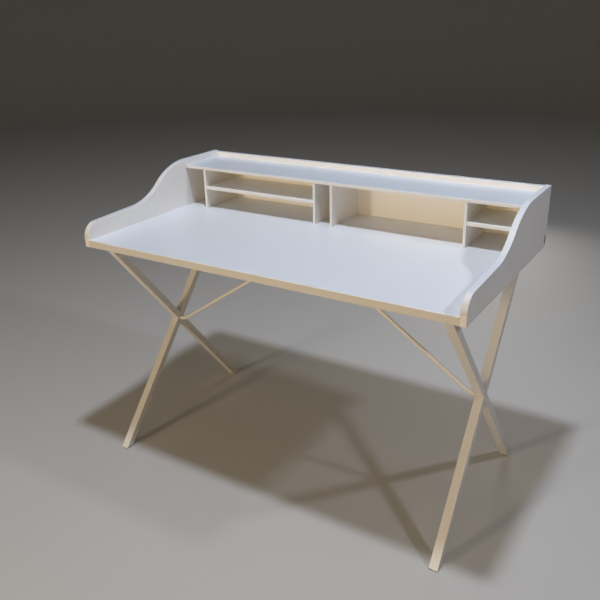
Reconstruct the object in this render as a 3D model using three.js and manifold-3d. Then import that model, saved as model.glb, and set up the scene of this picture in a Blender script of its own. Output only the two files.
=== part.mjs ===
// A secretary desk: a worktop between two curved side panels, with a row of open pigeonholes
// along the back, standing on two crossed-leg frames that are tied to the worktop by bent rods.
// Millimetres. X runs along the width, Y from the front edge to the back, Z up from the floor.
// The origin is on the floor at the middle of the desk.
import * as THREE from "three";
import { mergeVertices } from "three/addons/utils/BufferGeometryUtils.js";
import Module from "manifold-3d";

const wasm = await Module();
wasm.setup();

// Overall size
const WIDTH = 1208;
const DEPTH = 652;
const HEIGHT = 900;
const GAP = 0.3;

// Worktop
const TOP_Z = 740;
const TOP_THICK = 23;
const TOP_UNDER = TOP_Z - TOP_THICK;
const TOP_EDGE_ROUND = 2.5;

// Side panels: a high part at the back, an S-shaped fall and a low lip with a rounded nose
const PANEL_THICK = 17;
const PANEL_BOTTOM = TOP_UNDER - 0.5;
const PANEL_CORNER = 3;
const PANEL_EASE = 1.2;
const HUMP_Y = 149;
const HUMP_RADIUS = 226;
const DIP_RADIUS = 196;
const DIP_Z = 796.3;
const NOSE_RADIUS = 44;
const NOSE_Z = 746;

// Hutch: back panel, top shelf, upright dividers and tray shelves
const HUTCH_FRONT = 139.5;
const BACK_THICK = 16.5;
const BACK_FRONT = DEPTH / 2 - BACK_THICK;
const BACK_TOP = 897.5;
const SHELF_Z = 881;
const SHELF_THICK = 10;
const TRAY_Z = 814.5;
const TRAY_THICK = 10;
const DIVIDER_THICK = 8.5;
const DIVIDER_X = [-506, -70.6, -9.3, 423.3];
const THIN_EDGE_ROUND = 1.5;

// Crossed legs: horizontal section, where they stand and how they spread
const LEG_WIDE = 25.6;
const LEG_DEEP = 28;
const LEG_MID_Y = -4.5;
const LEG_SPREAD_TOP = 280.4;
const LEG_SPREAD_FLOOR = 304.8;
const LEG_X_TOP = 546.5;
const LEG_X_FLOOR = 560;
const LEG_EASE = 1;
const GLIDE_HIGH = 3;
const GLIDE_RADIUS = 9;
const CROSS_Z = (TOP_UNDER * LEG_SPREAD_FLOOR) / (LEG_SPREAD_TOP + LEG_SPREAD_FLOOR);

// Battens between the leg tops
const RAIL_WIDE = 24;
const RAIL_HIGH = 26;

// Bent rods from the leg crossings to the middle of the worktop
const ROD_RADIUS = 6;
const ROD_Z = CROSS_Z - 4;
const ROD_START_X = 559;
const ROD_BEND_X = 522;
const ROD_BEND_REACH = 16;
const ROD_SLOPE = 0.67;
const TAB_THICK = 4;
const TAB_LONG = 60;
const TAB_WIDE = 44;
const TAB_START_X = 4;

// Fasteners
const DOWEL_RADIUS = 4;
const SCREW_RADIUS = 2;
const SCREW_HEAD_RADIUS = 3.8;
const SCREW_HEAD_HIGH = 2.2;
const SLOT_WIDE = 9;
const SLOT_LONG = 26;
const SLOT_DEEP = 6;
const SLOT_Y = 316.5;
const SLOT_Z = 742;

const PANEL_INNER_X = WIDTH / 2 - PANEL_THICK;
const INNER_HALF = PANEL_INNER_X - GAP;

const X_AXIS = new THREE.Vector3(1, 0, 0);
const Y_AXIS = new THREE.Vector3(0, 1, 0);
const Z_AXIS = new THREE.Vector3(0, 0, 1);

function topLacquer() {
  return new THREE.MeshStandardMaterial({ color: 0xe9ecf1, roughness: 0.38, metalness: 0 });
}

function bodyLacquer() {
  return new THREE.MeshStandardMaterial({ color: 0xe8decc, roughness: 0.42, metalness: 0 });
}

function legLacquer() {
  return new THREE.MeshStandardMaterial({ color: 0xe3d9c6, roughness: 0.5, metalness: 0 });
}

function rodPaint() {
  return new THREE.MeshStandardMaterial({ color: 0xe6ddcb, roughness: 0.4, metalness: 0.2 });
}

function bareWood() {
  return new THREE.MeshStandardMaterial({ color: 0xc9a877, roughness: 0.75, metalness: 0 });
}

function zincSteel() {
  return new THREE.MeshStandardMaterial({ color: 0xb4b6b8, roughness: 0.35, metalness: 1 });
}

function glidePlastic() {
  return new THREE.MeshStandardMaterial({ color: 0xd8d6d0, roughness: 0.6, metalness: 0 });
}

function toSolid(geometry) {
  const bare = geometry.index ? geometry.toNonIndexed() : geometry.clone();
  bare.deleteAttribute("normal");
  bare.deleteAttribute("uv");
  const merged = mergeVertices(bare, 1e-4);
  const mesh = new wasm.Mesh({
    numProp: 3,
    vertProperties: new Float32Array(merged.attributes.position.array),
    triVerts: new Uint32Array(merged.index.array),
  });
  return new wasm.Manifold(mesh);
}

function fromSolid(solid) {
  const mesh = solid.getMesh();
  const geometry = new THREE.BufferGeometry();
  geometry.setAttribute("position", new THREE.BufferAttribute(mesh.vertProperties, 3));
  geometry.setIndex(new THREE.BufferAttribute(mesh.triVerts, 1));
  geometry.computeVertexNormals();
  return geometry;
}

function cutAway(geometry, tools) {
  let solid = toSolid(geometry);
  for (const tool of tools) {
    solid = solid.subtract(toSolid(tool));
  }
  return fromSolid(solid);
}

function joined(first, second) {
  return fromSolid(toSolid(first).add(toSolid(second)));
}

// A section drawn in (Y, Z) and run along X from x0 to x1
function alongX(shape, x0, x1, ease = 0, segments = 3) {
  const geometry = new THREE.ExtrudeGeometry(shape, {
    depth: x1 - x0 - 2 * ease,
    curveSegments: segments,
    bevelEnabled: ease > 0,
    bevelThickness: ease,
    bevelSize: ease,
    bevelOffset: -ease,
    bevelSegments: 1,
  });
  geometry.applyMatrix4(new THREE.Matrix4().makeBasis(Y_AXIS, Z_AXIS, X_AXIS));
  geometry.translate(x0 + ease, 0, 0);
  return geometry;
}

// A section drawn in (X, Y) and run up from z0 to z1
function alongZ(shape, z0, z1, segments = 2) {
  const options = { depth: z1 - z0, curveSegments: segments, bevelEnabled: false };
  const geometry = new THREE.ExtrudeGeometry(shape, options);
  geometry.translate(0, 0, z0);
  return geometry;
}

// Rectangle from (u0, v0) to (u1, v1) with a radius for each corner, counter-clockwise from (u0, v0)
function easedRectangle(u0, v0, u1, v1, [r00, r10, r11, r01]) {
  const shape = new THREE.Shape();
  shape.moveTo(u0 + r00, v0);
  shape.lineTo(u1 - r10, v0);
  if (r10 > 0) {
    shape.absarc(u1 - r10, v0 + r10, r10, -Math.PI / 2, 0);
  }
  shape.lineTo(u1, v1 - r11);
  if (r11 > 0) {
    shape.absarc(u1 - r11, v1 - r11, r11, 0, Math.PI / 2);
  }
  shape.lineTo(u0 + r01, v1);
  if (r01 > 0) {
    shape.absarc(u0 + r01, v1 - r01, r01, Math.PI / 2, Math.PI);
  }
  shape.lineTo(u0, v0 + r00);
  if (r00 > 0) {
    shape.absarc(u0 + r00, v0 + r00, r00, Math.PI, 1.5 * Math.PI);
  }
  return shape;
}

// A round peg of the given length centred at a point, lying along an axis
function peg(radius, length, centre, axis, segments = 12) {
  const geometry = new THREE.CylinderGeometry(radius, radius, length, segments);
  const turn = new THREE.Quaternion().setFromUnitVectors(Y_AXIS, axis);
  geometry.applyQuaternion(turn);
  geometry.translate(centre.x, centre.y, centre.z);
  return geometry;
}

// A pan-head screw whose head stands at the base point and whose shank runs along an axis
function screwBody(length, base, axis, clearance = 0) {
  const shank = SCREW_RADIUS + clearance;
  const head = SCREW_HEAD_RADIUS + clearance;
  const low = -clearance;
  const seat = SCREW_HEAD_HIGH + clearance;
  const profile = [
    new THREE.Vector2(0, low),
    new THREE.Vector2(head, low),
    new THREE.Vector2(head, seat),
    new THREE.Vector2(shank, seat),
    new THREE.Vector2(shank, length - SCREW_RADIUS + clearance),
    new THREE.Vector2(0, length + 2 * clearance),
  ];
  const geometry = new THREE.LatheGeometry(profile, 12);
  const turn = new THREE.Quaternion().setFromUnitVectors(Y_AXIS, axis);
  geometry.applyQuaternion(turn);
  geometry.translate(base.x, base.y, base.z);
  return geometry;
}

// One fastener: its own body and the slightly larger pocket cut for it in the wood
function dowelAt(centre, axis, length) {
  return {
    body: peg(DOWEL_RADIUS, length, centre, axis),
    pocket: peg(DOWEL_RADIUS + GAP, length + 2 * GAP, centre, axis),
    material: bareWood,
  };
}

function screwAt(base, axis, length) {
  return {
    body: screwBody(length, base, axis),
    pocket: screwBody(length, base, axis, GAP),
    material: zincSteel,
  };
}

// Dowels from the worktop's ends into the side panels
function panelDowels(side) {
  const places = [-275, -30, 215];
  const deepInPanel = 11;
  const deepInTop = 19;
  const middle = PANEL_INNER_X + (deepInPanel - deepInTop) / 2;
  const length = deepInPanel + deepInTop - 2 * GAP;
  return places.map((y) => {
    const centre = new THREE.Vector3(side * middle, y, TOP_Z - TOP_THICK / 2);
    return dowelAt(centre, X_AXIS, length);
  });
}

// Dowels that stand the back panel on the worktop
function backDowels() {
  return [-430, 0, 430].map((x) => {
    const centre = new THREE.Vector3(x, BACK_FRONT + BACK_THICK / 2, TOP_Z);
    return dowelAt(centre, Z_AXIS, 24);
  });
}

// Upright dowels from the leg tops into the worktop
function legDowel(side, lean) {
  const deepInLeg = 13;
  const deepInTop = 12;
  const y = legMiddleY(TOP_UNDER - deepInLeg / 2, lean);
  const z = TOP_UNDER + (deepInTop - deepInLeg) / 2;
  return dowelAt(new THREE.Vector3(side * LEG_X_TOP, y, z), Z_AXIS, deepInLeg + deepInTop);
}

// Screws up through each batten into the worktop
function railScrews(side) {
  return [-150, 150].map((y) => {
    const base = new THREE.Vector3(side * LEG_X_TOP, LEG_MID_Y + y, TOP_UNDER - RAIL_HIGH);
    return screwAt(base, Z_AXIS, 40);
  });
}

// Screws up through each rod's flat end into the worktop
function tabScrews(side) {
  return [-1, 1].map((across) => {
    const x = side * (TAB_START_X + 38);
    const y = LEG_MID_Y + across * 14;
    const z = TOP_UNDER - GAP - TAB_THICK - SCREW_HEAD_HIGH - GAP;
    return screwAt(new THREE.Vector3(x, y, z), Z_AXIS, 20);
  });
}

// Bolt at the bottom of each side panel's slot, into the end of the back panel
function slotBolt(side) {
  const x = side * (WIDTH / 2 - SLOT_DEEP + SCREW_HEAD_HIGH);
  const base = new THREE.Vector3(x, SLOT_Y, SLOT_Z + 6);
  const axis = new THREE.Vector3(-side, 0, 0);
  return screwAt(base, axis, 36);
}

// Screws from behind into the back edge of the top shelf
function shelfScrews() {
  return [-400, 20, 440].map((x) => {
    const base = new THREE.Vector3(x, DEPTH / 2 - 0.5, SHELF_Z - SHELF_THICK / 2);
    return screwAt(base, new THREE.Vector3(0, -1, 0), 38);
  });
}

function worktop(pockets) {
  const r = TOP_EDGE_ROUND;
  const section = easedRectangle(-DEPTH / 2, TOP_UNDER, DEPTH / 2, TOP_Z, [r, 0, 0, r]);
  return cutAway(alongX(section, -INNER_HALF, INNER_HALF), pockets);
}

// Outline of a side panel in (Y, Z). The hump and the dip are circles that touch, and the lip is
// the straight line that touches both the dip and the nose.
function panelOutline() {
  const back = DEPTH / 2;
  const front = -DEPTH / 2;
  const humpZ = HEIGHT - HUMP_RADIUS;
  const dipZ = DIP_Z + DIP_RADIUS;
  const rise = dipZ - humpZ;
  const run = Math.sqrt((HUMP_RADIUS + DIP_RADIUS) ** 2 - rise ** 2);
  const dipY = HUMP_Y - run;
  const turnOver = Math.atan2(rise, -run);
  const noseY = front + NOSE_RADIUS;
  const toDip = Math.hypot(dipY - noseY, dipZ - NOSE_Z);
  const lip = Math.atan2(dipZ - NOSE_Z, dipY - noseY) - Math.asin((DIP_RADIUS + NOSE_RADIUS) / toDip);
  const shape = new THREE.Shape();
  shape.moveTo(front + PANEL_CORNER, PANEL_BOTTOM);
  shape.lineTo(back - PANEL_CORNER, PANEL_BOTTOM);
  shape.absarc(back - PANEL_CORNER, PANEL_BOTTOM + PANEL_CORNER, PANEL_CORNER, -Math.PI / 2, 0);
  shape.lineTo(back, HEIGHT - PANEL_CORNER);
  shape.absarc(back - PANEL_CORNER, HEIGHT - PANEL_CORNER, PANEL_CORNER, 0, Math.PI / 2);
  shape.lineTo(HUMP_Y, HEIGHT);
  shape.absarc(HUMP_Y, humpZ, HUMP_RADIUS, Math.PI / 2, turnOver);
  shape.absarc(dipY, dipZ, DIP_RADIUS, turnOver - Math.PI, lip - Math.PI / 2, true);
  shape.lineTo(noseY - NOSE_RADIUS * Math.sin(lip), NOSE_Z + NOSE_RADIUS * Math.cos(lip));
  shape.absarc(noseY, NOSE_Z, NOSE_RADIUS, Math.PI / 2 + lip, Math.PI);
  shape.lineTo(front, PANEL_BOTTOM + PANEL_CORNER);
  shape.absarc(front + PANEL_CORNER, PANEL_BOTTOM + PANEL_CORNER, PANEL_CORNER, Math.PI, 1.5 * Math.PI);
  return shape;
}

// The upright slot near the back lower corner of each side panel's outer face
function fixingSlot(side) {
  const half = SLOT_WIDE / 2;
  const low = SLOT_Z - SLOT_LONG / 2;
  const high = SLOT_Z + SLOT_LONG / 2;
  const radii = [half, half, half, half];
  const outline = easedRectangle(SLOT_Y - half, low, SLOT_Y + half, high, radii);
  const outer = side * (WIDTH / 2 + 2);
  const inner = side * (WIDTH / 2 - SLOT_DEEP);
  return alongX(outline, Math.min(inner, outer), Math.max(inner, outer), 0, 4);
}

function sidePanel(side, pockets) {
  const low = side > 0 ? PANEL_INNER_X : -WIDTH / 2;
  const blank = alongX(panelOutline(), low, low + PANEL_THICK, PANEL_EASE, 5);
  return cutAway(blank, [fixingSlot(side), ...pockets]);
}

function backPanel(pockets) {
  const r = THIN_EDGE_ROUND;
  const section = easedRectangle(BACK_FRONT, TOP_Z + GAP, DEPTH / 2, BACK_TOP, [0, 0, r, r]);
  return cutAway(alongX(section, -INNER_HALF, INNER_HALF), pockets);
}

// A thin level board between two x positions, eased along its front edge
function thinBoard(x0, x1, front, topZ, thick) {
  const r = THIN_EDGE_ROUND;
  const section = easedRectangle(front, topZ - thick, BACK_FRONT - GAP, topZ, [r, 0, 0, r]);
  return alongX(section, x0, x1);
}

function topShelf(pockets) {
  const blank = thinBoard(-INNER_HALF, INNER_HALF, HUTCH_FRONT, SHELF_Z, SHELF_THICK);
  return cutAway(blank, pockets);
}

function divider(x) {
  const half = DIVIDER_THICK / 2;
  const r = THIN_EDGE_ROUND;
  const section = easedRectangle(x - half, HUTCH_FRONT, x + half, BACK_FRONT - GAP, [r, r, 0, 0]);
  return alongZ(section, TOP_Z + GAP, SHELF_Z - SHELF_THICK - GAP);
}

// A shelf that halves the height of a bay and makes two letter trays
function trayShelf(x0, x1) {
  return thinBoard(x0 + GAP, x1 - GAP, HUTCH_FRONT + 1, TRAY_Z, TRAY_THICK);
}

// Middle of a leg at height z. lean is +1 for the leg whose foot is at the back.
function legMiddleY(z, lean) {
  const fall = ((LEG_SPREAD_TOP + LEG_SPREAD_FLOOR) * (TOP_UNDER - z)) / TOP_UNDER;
  return LEG_MID_Y + lean * (fall - LEG_SPREAD_TOP);
}

function legSection(lean, z0, z1, extra) {
  const half = LEG_DEEP / 2 + extra;
  const shape = new THREE.Shape();
  shape.moveTo(legMiddleY(z0, lean) - half, z0);
  shape.lineTo(legMiddleY(z0, lean) + half, z0);
  shape.lineTo(legMiddleY(z1, lean) + half, z1);
  shape.lineTo(legMiddleY(z1, lean) - half, z1);
  shape.closePath();
  return shape;
}

// Legs are drawn upright about x = 0, then leaned outwards so that the feet stay flat
function splayed(geometry, side) {
  const lean = (side * (LEG_X_TOP - LEG_X_FLOOR)) / TOP_UNDER;
  const shear = new THREE.Matrix4();
  shear.set(1, 0, lean, side * LEG_X_FLOOR, 0, 1, 0, 0, 0, 0, 1, 0, 0, 0, 0, 1);
  return geometry.applyMatrix4(shear);
}

// The rear-footed leg keeps its outer half at the crossing, the other keeps its inner half
function leg(side, lean, pockets) {
  const low = GLIDE_HIGH + GAP;
  const high = TOP_UNDER - GAP;
  const half = LEG_WIDE / 2;
  const blank = alongX(legSection(lean, low, high, 0), -half, half, LEG_EASE);
  const other = legSection(-lean, CROSS_Z - 60, CROSS_Z + 60, GAP);
  const cutsInnerHalf = lean > 0;
  const towardsPlus = cutsInnerHalf ? side < 0 : side > 0;
  const notch = towardsPlus ? alongX(other, -GAP / 2, half + 5) : alongX(other, -half - 5, GAP / 2);
  const lapped = cutAway(blank, [notch]);
  return cutAway(splayed(lapped, side), pockets);
}

// Batten under the worktop, cut to the slope of the two legs it runs between
function legRail(side, pockets) {
  const high = TOP_UNDER - GAP;
  const low = TOP_UNDER - RAIL_HIGH;
  const reach = LEG_DEEP / 2 + GAP;
  const shape = new THREE.Shape();
  shape.moveTo(legMiddleY(low, 1) + reach, low);
  shape.lineTo(legMiddleY(low, -1) - reach, low);
  shape.lineTo(legMiddleY(high, -1) - reach, high);
  shape.lineTo(legMiddleY(high, 1) + reach, high);
  shape.closePath();
  const middle = side * LEG_X_TOP;
  return cutAway(alongX(shape, middle - RAIL_WIDE / 2, middle + RAIL_WIDE / 2), pockets);
}

// Centre line of a rod: level out of the crossing, round a bend, then straight up to the worktop
function rodLine(side, start) {
  const rise = (x) => ROD_Z + ROD_SLOPE * (ROD_BEND_X - x);
  const top = TOP_UNDER - GAP - TAB_THICK - 1;
  const endX = ROD_BEND_X - (top - ROD_Z) / ROD_SLOPE;
  const point = (x, z) => new THREE.Vector3(side * x, LEG_MID_Y, z);
  const bendIn = point(ROD_BEND_X + ROD_BEND_REACH, ROD_Z);
  const bendOut = point(ROD_BEND_X - ROD_BEND_REACH, rise(ROD_BEND_X - ROD_BEND_REACH));
  const path = new THREE.CurvePath();
  path.add(new THREE.LineCurve3(point(start, ROD_Z), bendIn));
  path.add(new THREE.QuadraticBezierCurve3(bendIn, point(ROD_BEND_X, ROD_Z), bendOut));
  path.add(new THREE.LineCurve3(bendOut, point(endX, top)));
  return path;
}

function rodSweep(side) {
  const circle = new THREE.Shape();
  circle.absarc(0, 0, ROD_RADIUS, 0, 2 * Math.PI);
  return new THREE.ExtrudeGeometry(circle, {
    steps: 36,
    curveSegments: 5,
    extrudePath: rodLine(side, ROD_START_X),
  });
}

function braceRod(side, pockets) {
  const from = side * TAB_START_X;
  const to = side * (TAB_START_X + TAB_LONG);
  const half = TAB_WIDE / 2;
  const r = 6;
  const high = TOP_UNDER - GAP;
  const x0 = Math.min(from, to);
  const x1 = Math.max(from, to);
  const outline = easedRectangle(x0, LEG_MID_Y - half, x1, LEG_MID_Y + half, [r, r, r, r]);
  const tab = alongZ(outline, high - TAB_THICK, high, 3);
  return cutAway(joined(rodSweep(side), tab), pockets);
}

// Hole that takes the level end of a rod
function rodHole(side) {
  const length = 40;
  const end = ROD_START_X + GAP;
  const centre = new THREE.Vector3(side * (end - length / 2), LEG_MID_Y, ROD_Z);
  return peg(ROD_RADIUS + GAP, length, centre, X_AXIS, 16);
}

function glide(side, lean) {
  const profile = [
    new THREE.Vector2(0, 0),
    new THREE.Vector2(GLIDE_RADIUS - 1, 0),
    new THREE.Vector2(GLIDE_RADIUS, 1),
    new THREE.Vector2(GLIDE_RADIUS, GLIDE_HIGH),
    new THREE.Vector2(0, GLIDE_HIGH),
  ];
  const geometry = new THREE.LatheGeometry(profile, 16);
  geometry.applyMatrix4(new THREE.Matrix4().makeRotationX(Math.PI / 2));
  geometry.translate(side * LEG_X_FLOOR, legMiddleY(0, lean), 0);
  return geometry;
}

const desk = new THREE.Group();
desk.name = "secretary_desk";

function place(name, geometry, material) {
  const mesh = new THREE.Mesh(geometry, material());
  mesh.name = name;
  desk.add(mesh);
}

function placeFasteners(name, fasteners) {
  fasteners.forEach((fastener, index) => {
    place(`${name}_${index + 1}`, fastener.body, fastener.material);
  });
}

const pocketsOf = (fasteners) => fasteners.map((fastener) => fastener.pocket);

const SIDES = [
  { side: -1, name: "left" },
  { side: 1, name: "right" },
];
const standing = backDowels();
const shelfFixings = shelfScrews();
const topPockets = pocketsOf(standing);
const backPockets = [...pocketsOf(standing), ...pocketsOf(shelfFixings)];

for (const { side, name } of SIDES) {
  const endDowels = panelDowels(side);
  const bolt = slotBolt(side);
  const screws = railScrews(side);
  const tabFixings = tabScrews(side);
  const rearDowel = legDowel(side, 1);
  const frontDowel = legDowel(side, -1);
  const rod = rodHole(side);
  place(`side_panel_${name}`, sidePanel(side, [...pocketsOf(endDowels), bolt.pocket]), bodyLacquer);
  place(`leg_${name}_rear_foot`, leg(side, 1, [rearDowel.pocket, rod]), legLacquer);
  place(`leg_${name}_front_foot`, leg(side, -1, [frontDowel.pocket, rod]), legLacquer);
  place(`leg_rail_${name}`, legRail(side, pocketsOf(screws)), legLacquer);
  place(`brace_${name}`, braceRod(side, pocketsOf(tabFixings)), rodPaint);
  place(`glide_${name}_rear`, glide(side, 1), glidePlastic);
  place(`glide_${name}_front`, glide(side, -1), glidePlastic);
  place(`leg_dowel_${name}_front`, rearDowel.body, rearDowel.material);
  place(`leg_dowel_${name}_rear`, frontDowel.body, frontDowel.material);
  place(`back_bolt_${name}`, bolt.body, bolt.material);
  placeFasteners(`panel_dowel_${name}`, endDowels);
  placeFasteners(`rail_screw_${name}`, screws);
  placeFasteners(`brace_screw_${name}`, tabFixings);
  topPockets.push(...pocketsOf(endDowels), ...pocketsOf(screws), ...pocketsOf(tabFixings));
  topPockets.push(rearDowel.pocket, frontDowel.pocket);
  backPockets.push(bolt.pocket);
}

place("worktop", worktop(topPockets), topLacquer);
place("back_panel", backPanel(backPockets), bodyLacquer);
place("top_shelf", topShelf(pocketsOf(shelfFixings)), topLacquer);
DIVIDER_X.forEach((x, index) => {
  place(`divider_${index + 1}`, divider(x), bodyLacquer);
});
const halfDivider = DIVIDER_THICK / 2;
const leftTray = trayShelf(DIVIDER_X[0] + halfDivider, DIVIDER_X[1] - halfDivider);
const rightTray = trayShelf(DIVIDER_X[3] + halfDivider, PANEL_INNER_X);
place("tray_shelf_left", leftTray, bodyLacquer);
place("tray_shelf_right", rightTray, bodyLacquer);
placeFasteners("back_dowel", standing);
placeFasteners("shelf_screw", shelfFixings);

export default desk;
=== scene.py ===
"""Finished visual model of a white secretary desk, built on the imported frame."""

from __future__ import annotations

import logging
import math
from collections.abc import Callable, Iterable, Mapping, Sequence
from dataclasses import dataclass, field
from enum import Enum

import bmesh
import bpy
from mathutils import Matrix, Vector


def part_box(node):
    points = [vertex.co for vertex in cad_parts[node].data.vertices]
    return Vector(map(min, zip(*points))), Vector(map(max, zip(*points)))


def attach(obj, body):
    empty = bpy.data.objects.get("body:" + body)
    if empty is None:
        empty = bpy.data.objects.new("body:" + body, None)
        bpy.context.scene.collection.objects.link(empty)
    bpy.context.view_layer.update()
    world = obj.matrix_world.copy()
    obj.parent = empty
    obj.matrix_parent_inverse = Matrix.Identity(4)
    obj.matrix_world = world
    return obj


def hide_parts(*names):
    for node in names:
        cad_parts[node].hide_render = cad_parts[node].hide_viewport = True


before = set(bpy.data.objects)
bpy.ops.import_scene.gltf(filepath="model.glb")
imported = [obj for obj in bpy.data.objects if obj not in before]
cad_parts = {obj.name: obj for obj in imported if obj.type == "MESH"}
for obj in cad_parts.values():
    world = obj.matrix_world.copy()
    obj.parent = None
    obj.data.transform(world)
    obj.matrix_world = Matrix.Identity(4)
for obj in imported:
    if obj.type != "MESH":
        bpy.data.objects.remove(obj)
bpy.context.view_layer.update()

LOG = logging.getLogger("secretary_desk")
BODY = "root"
MM = 0.001
TOUCH = 1e-6
SHARP_ANGLE = math.radians(32.0)
UPPER_SKIN = 0.3 * MM
SQUARE_EDGE = 1.0

Colour = tuple[float, float, float]


class Side(Enum):
    """The two ends of the desk, as the sign of X."""

    LEFT = -1
    RIGHT = 1

    @property
    def word(self) -> str:
        """The side's name as the frame's nodes spell it."""
        return self.name.lower()


class Foot(Enum):
    """Where a leg meets the floor, as the sign of Y."""

    FRONT = -1
    REAR = 1

    @property
    def word(self) -> str:
        """The foot's name as the frame's nodes spell it."""
        return self.name.lower()


class Slot(Enum):
    """Material slots of the record."""

    TOP = "top_lacquer"
    BODY = "body_lacquer"
    LEG = "leg_lacquer"
    ROD = "rod_paint"
    STEEL = "zinc_steel"
    PLASTIC = "glide_plastic"


# Shader arithmetic


@dataclass(frozen=True)
class Signal:
    """A value socket that takes part in ordinary arithmetic."""

    graph: "Graph"
    socket: bpy.types.NodeSocket

    def _with(self, operation: str, first: "Operand", second: "Operand") -> "Signal":
        """Adds one Math node.

        Args:
            operation: The Math node's operation.
            first: Left operand.
            second: Right operand.

        Returns:
            The node's output.
        """
        return self.graph.node(
            "ShaderNodeMath", {"operation": operation}, {0: first, 1: second}
        )

    def __add__(self, other: "Operand") -> "Signal":
        """Sum."""
        return self._with("ADD", self, other)

    def __radd__(self, other: "Operand") -> "Signal":
        """Reflected sum."""
        return self._with("ADD", other, self)

    def __sub__(self, other: "Operand") -> "Signal":
        """Difference."""
        return self._with("SUBTRACT", self, other)

    def __rsub__(self, other: "Operand") -> "Signal":
        """Reflected difference."""
        return self._with("SUBTRACT", other, self)

    def __mul__(self, other: "Operand") -> "Signal":
        """Product."""
        return self._with("MULTIPLY", self, other)

    def __rmul__(self, other: "Operand") -> "Signal":
        """Reflected product."""
        return self._with("MULTIPLY", other, self)

    def above(self, edge: float) -> "Signal":
        """1 where the value is over the edge, else 0."""
        return self._with("GREATER_THAN", self, edge)


Operand = Signal | float | int
Linked = Signal | float | int | Sequence[float]


class Graph:
    """The node tree of one material, written as expressions."""

    def __init__(self, material: bpy.types.Material) -> None:
        """Clears the material's tree and starts an empty one.

        Args:
            material: The material to fill.
        """
        material.use_nodes = True
        self.tree = material.node_tree
        self.tree.nodes.clear()

    def node(
        self,
        kind: str,
        settings: Mapping[str, object] | None = None,
        inputs: Mapping[str | int, Linked] | None = None,
        output: str | int = 0,
    ) -> Signal:
        """Adds one node.

        Args:
            kind: The node's type name.
            settings: Properties set before the sockets.
            inputs: Values or links by socket name or number.
            output: The output socket to return.

        Returns:
            The chosen output.
        """
        made = self.tree.nodes.new(kind)
        for key, value in (settings or {}).items():
            setattr(made, key, value)
        for key, value in (inputs or {}).items():
            socket = made.inputs[key]
            if isinstance(value, Signal):
                self.tree.links.new(value.socket, socket)
            else:
                socket.default_value = value
        return Signal(self, made.outputs[output])

    def place(
        self,
        scale: Sequence[float] = (1.0, 1.0, 1.0),
        turn: Sequence[float] = (0.0, 0.0, 0.0),
    ) -> Signal:
        """Object coordinates in metres, turned and then stretched.

        Args:
            scale: Stretch along each turned axis.
            turn: Rotation in radians.

        Returns:
            The mapped vector.
        """
        raw = self.node("ShaderNodeTexCoord", output="Object")
        turned = self.node("ShaderNodeMapping", {}, {"Vector": raw, "Rotation": turn})
        return self.node("ShaderNodeMapping", {}, {"Vector": turned, "Scale": scale})

    def noise(
        self, vector: Signal, scale: float, detail: float = 2.0, roughness: float = 0.5
    ) -> Signal:
        """Soft noise between 0 and 1.

        Args:
            vector: Where to read the pattern.
            scale: Features per metre.
            detail: Octaves.
            roughness: Strength of the finer octaves.

        Returns:
            The noise factor.
        """
        sockets = {
            "Vector": vector,
            "Scale": scale,
            "Detail": detail,
            "Roughness": roughness,
        }
        return self.node("ShaderNodeTexNoise", {}, sockets, "Fac")

    def spots(self, vector: Signal, scale: float, size: float, share: float) -> Signal:
        """Sparse round specks, 1 inside a speck.

        Args:
            vector: Where to read the pattern.
            scale: Cells per metre.
            size: Speck radius as a part of a cell.
            share: Part of the cells that hold a speck.

        Returns:
            The speck mask.
        """
        sockets = {"Vector": vector, "Scale": scale}
        distance = self.node("ShaderNodeTexVoronoi", {}, sockets, "Distance")
        colour = self.node("ShaderNodeTexVoronoi", {}, sockets, "Color")
        lot = self.node("ShaderNodeSeparateColor", {}, {"Color": colour}, "Red")
        near = self.remap(distance, (0.5 * size, size), (1.0, 0.0))
        return near * lot.above(1.0 - share)

    def remap(
        self, value: Signal, source: tuple[float, float], target: tuple[float, float]
    ) -> Signal:
        """Maps one range on to another with smooth ends.

        Args:
            value: The input.
            source: Range read.
            target: Range written.

        Returns:
            The mapped value.
        """
        sockets = {
            "Value": value,
            "From Min": source[0],
            "From Max": source[1],
            "To Min": target[0],
            "To Max": target[1],
        }
        settings = {"interpolation_type": "SMOOTHSTEP"}
        return self.node("ShaderNodeMapRange", settings, sockets, "Result")

    def mix(
        self, amount: Operand, first: Colour | Signal, second: Colour | Signal
    ) -> Signal:
        """Blends two colours.

        Args:
            amount: Share of the second colour.
            first: Colour at 0.
            second: Colour at 1.

        Returns:
            The blended colour.
        """
        made = self.tree.nodes.new("ShaderNodeMix")
        made.data_type = "RGBA"
        for key, value in ((0, amount), (6, first), (7, second)):
            if isinstance(value, Signal):
                self.tree.links.new(value.socket, made.inputs[key])
            elif key == 0:
                made.inputs[key].default_value = value
            else:
                made.inputs[key].default_value = (*value, 1.0)
        return Signal(self, made.outputs[2])

    def relief(self, layers: Sequence[tuple[Signal, float, float]]) -> Signal:
        """Stacks bumps.

        Args:
            layers: Height, strength and distance in metres of each layer.

        Returns:
            The bumped normal.
        """
        normal: Signal | None = None
        for height, strength, distance in layers:
            sockets: dict[str | int, Linked] = {
                "Height": height,
                "Strength": strength,
                "Distance": distance,
            }
            if normal is not None:
                sockets["Normal"] = normal
            normal = self.node("ShaderNodeBump", {}, sockets, "Normal")
        if normal is None:
            raise ValueError("relief needs a layer")
        return normal

    def surface(self, sockets: Mapping[str | int, Linked]) -> None:
        """Ends the tree in a Principled shader.

        Args:
            sockets: Values or links of the shader's sockets.
        """
        shader = self.node("ShaderNodeBsdfPrincipled", {}, sockets)
        final = self.tree.nodes.new("ShaderNodeOutputMaterial")
        self.tree.links.new(shader.socket, final.inputs["Surface"])


# Finishes


def tinted(colour: Colour, factor: float) -> Colour:
    """A colour made darker or lighter by a factor."""
    return (colour[0] * factor, colour[1] * factor, colour[2] * factor)


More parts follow.
